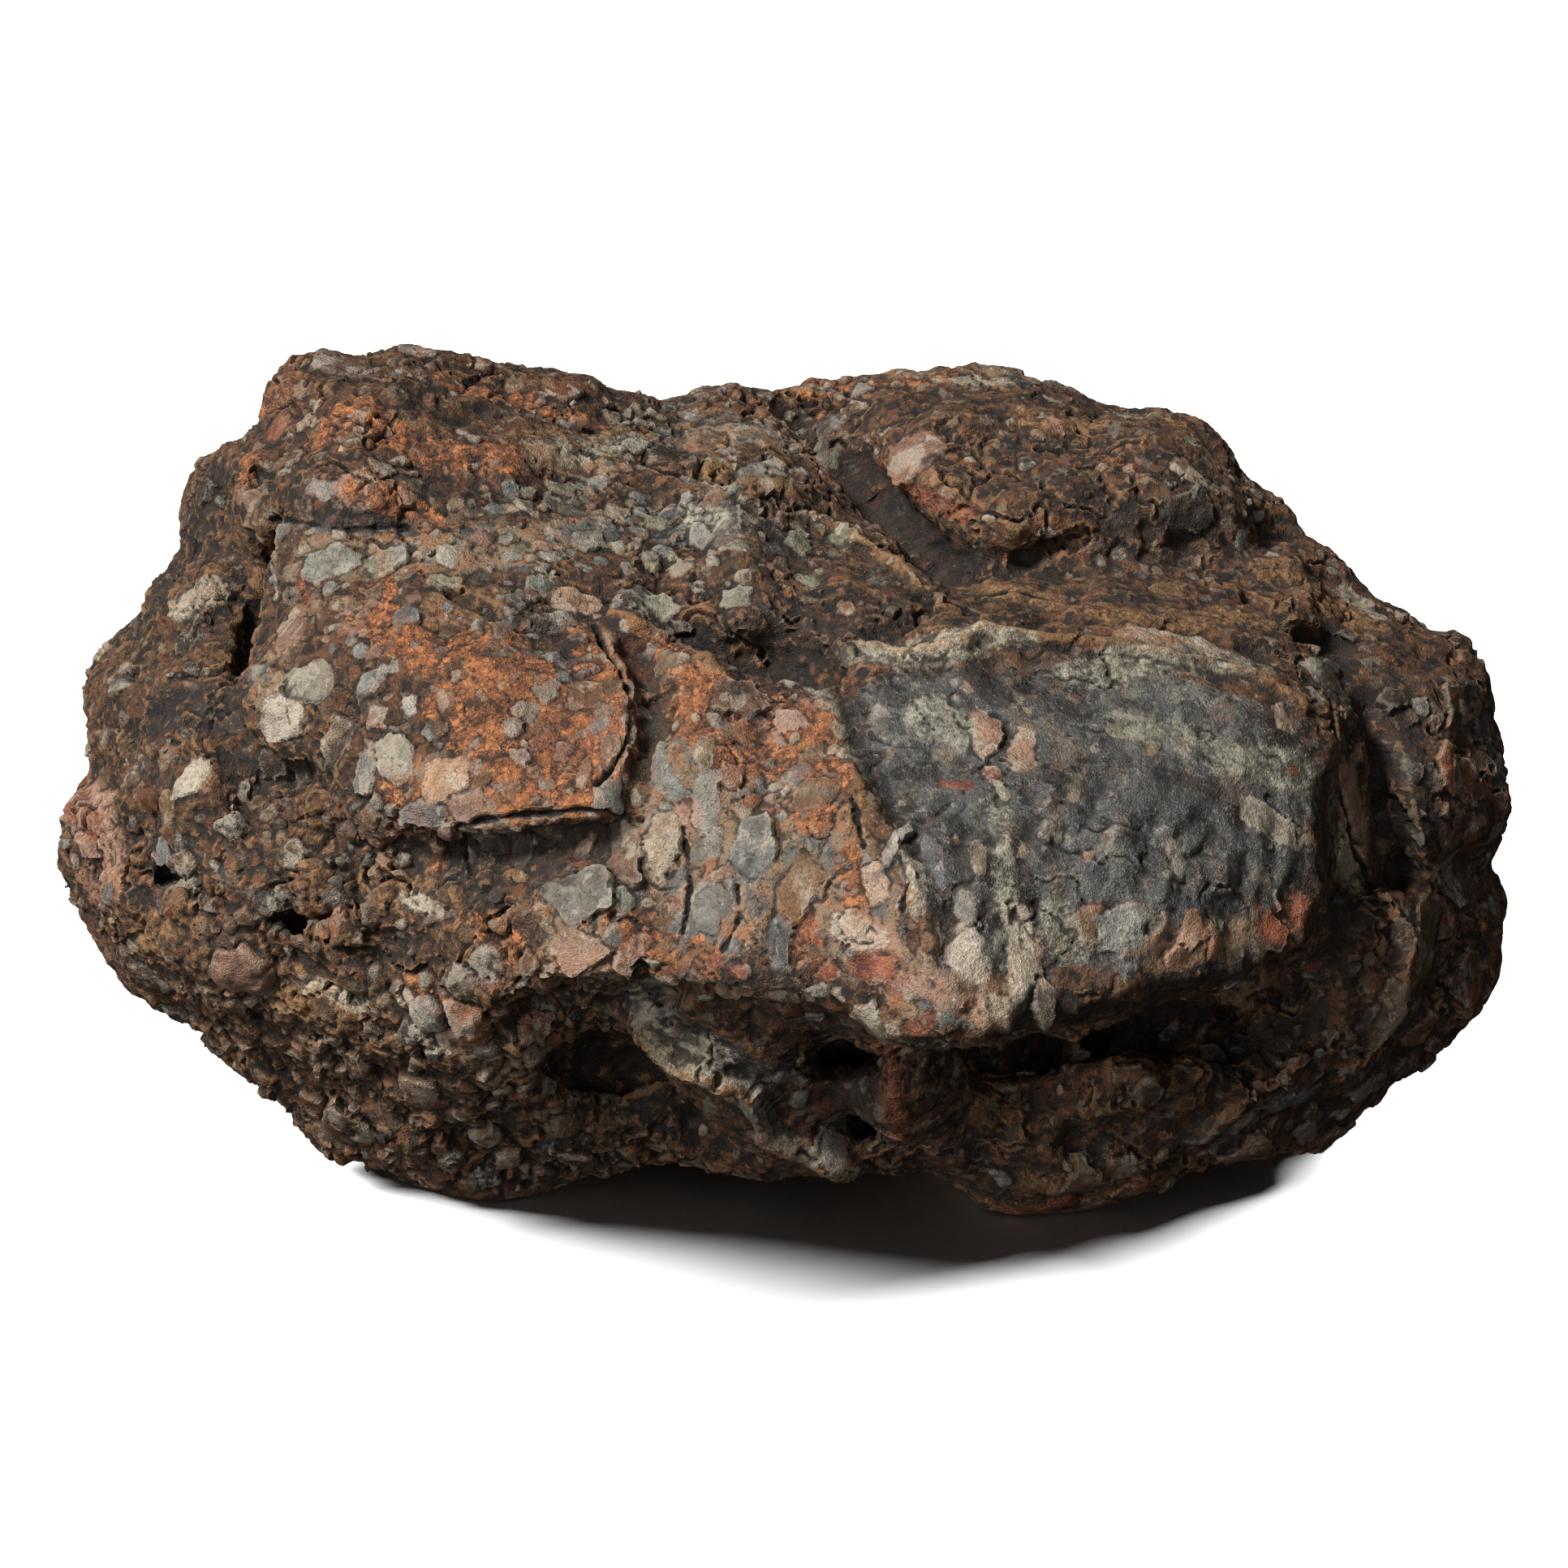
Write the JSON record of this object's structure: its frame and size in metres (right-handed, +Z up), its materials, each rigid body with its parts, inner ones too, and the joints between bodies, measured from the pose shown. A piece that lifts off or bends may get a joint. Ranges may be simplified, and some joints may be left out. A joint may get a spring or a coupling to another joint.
{
  "type": "agatized dinosaur coprolite",
  "caption": "Fist-sized lump of agatized fossil dung, rough, chipped and undercut, with a broad grey agate fracture face; rests on a shelf or table for display.",
  "frame": {"origin": "centre of the lump's footprint, in the plane of the feet it rests on", "axes": "+X along its length, to the right of someone who looks at the fracture face; +Y away from that viewer; +Z up"},
  "size_m": [0.1327, 0.097, 0.0671],
  "materials": {
    "agatized_stone": "rough weathered stone, dark brown to rust, with waxy grey agate chips"
  },
  "bodies": {
    "root": {"coprolite": "agatized_stone"}
  },
  "joints": []
}
